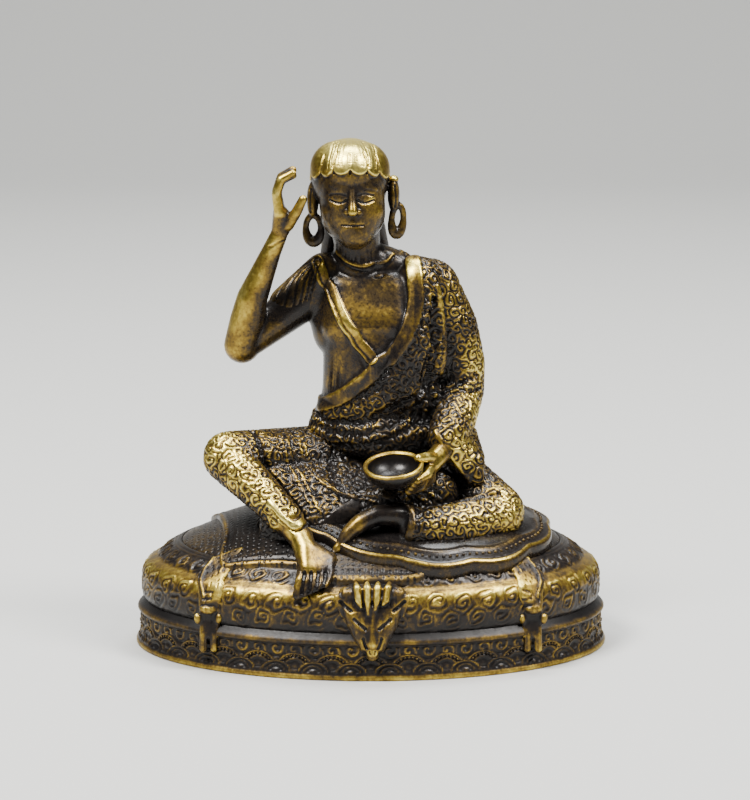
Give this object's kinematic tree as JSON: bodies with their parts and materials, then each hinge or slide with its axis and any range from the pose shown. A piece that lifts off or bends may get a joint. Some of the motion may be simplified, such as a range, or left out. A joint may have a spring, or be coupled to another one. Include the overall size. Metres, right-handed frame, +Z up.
{
  "type": "milarepa statue",
  "caption": "Small cast brass figure of a seated yogi on a cushioned oval plinth, one hand raised to the ear, a bowl in the other, an animal hide under the figure.",
  "frame": {"origin": "middle of the plinth's flat underside, on the table", "axes": "+Z up through the head, -Y to the viewer who faces the figure, +X to that viewer's right; the plinth is longest along X"},
  "size_m": [0.043, 0.0294, 0.0461],
  "materials": {
    "aged_brass": "cast, dark brown patina in the hollows, rubbed bright on the high places"
  },
  "bodies": {
    "root": {"milarepa_statue": "aged_brass"}
  },
  "joints": []
}
